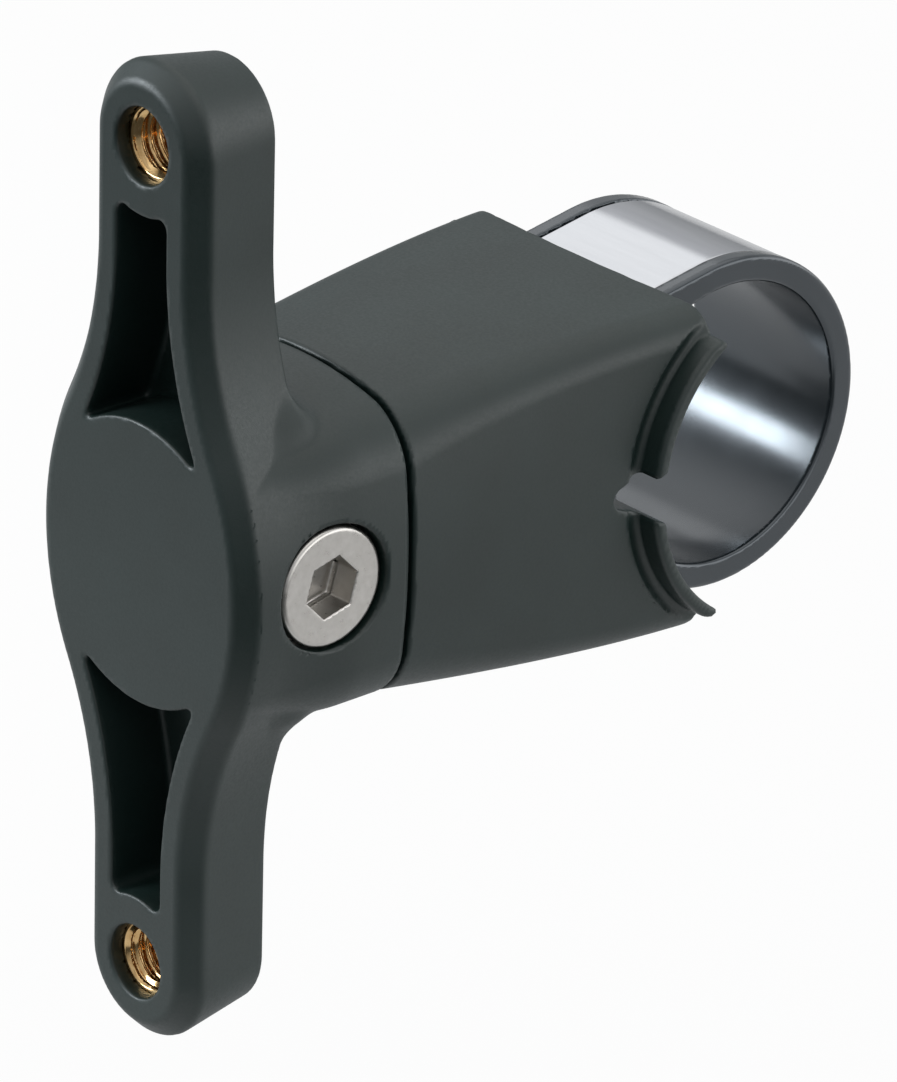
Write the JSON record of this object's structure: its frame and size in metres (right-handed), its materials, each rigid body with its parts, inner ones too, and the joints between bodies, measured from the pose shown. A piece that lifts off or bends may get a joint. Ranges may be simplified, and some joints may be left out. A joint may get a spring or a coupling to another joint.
{
  "type": "bottle cage mount",
  "caption": "Bottle cage mount: a pocketed plate with brass threaded inserts on a boxy clamp body, held to a round bar by a rubber-lined steel strap that a side screw tightens.",
  "frame": {"origin": "centre of the clamped tube, on its axis in the middle of the rubber liner", "axes": "+X along the clamped tube, towards the tightening screw's head; -Y out of the cage plate's front face; +Z along the line of the cage bolts, up"},
  "size_m": [0.0302, 0.0634, 0.0764],
  "materials": {
    "polymer": "satin black with a fine grain",
    "rubber": "smooth",
    "strap_steel": "polished",
    "screw_steel": "satin",
    "inner_steel": "plain",
    "brass": "machined"
  },
  "bodies": {
    "clamp": {"clamp_body": "polymer", "liner": "rubber", "strap": "strap_steel", "strap_yoke": "inner_steel", "upper_strap_pin": "inner_steel", "lower_strap_pin": "inner_steel"},
    "head": {"cage_plate": "polymer", "upper_insert": "brass", "lower_insert": "brass", "bolt_washer": "screw_steel"},
    "bolt": {"tension_bolt": "screw_steel", "bolt_clip": "inner_steel"},
    "wedge": {"wedge_nut": "inner_steel"}
  },
  "joints": [
    {"name": "neck_closing", "type": "slide", "parent": "clamp", "child": "head", "axis": [0, 1, 0], "range_m": [0, 0.000401]},
    {"name": "wedge_drawing", "type": "slide", "parent": "head", "child": "wedge", "axis": [1, 0, 0], "range_m": [0, 0.0024]},
    {"name": "bolt_tightening", "type": "hinge", "parent": "head", "child": "bolt", "pos_m": [0, -0.0419, 0], "axis": [-1, 0, 0], "range_deg": [0, 1080]}
  ],
  "couplings": [
    {"joint": "neck_closing", "follows": "wedge_drawing", "ratio": 0.16667},
    {"joint": "bolt_tightening", "follows": "wedge_drawing", "rad_per_m": 7853.9}
  ]
}
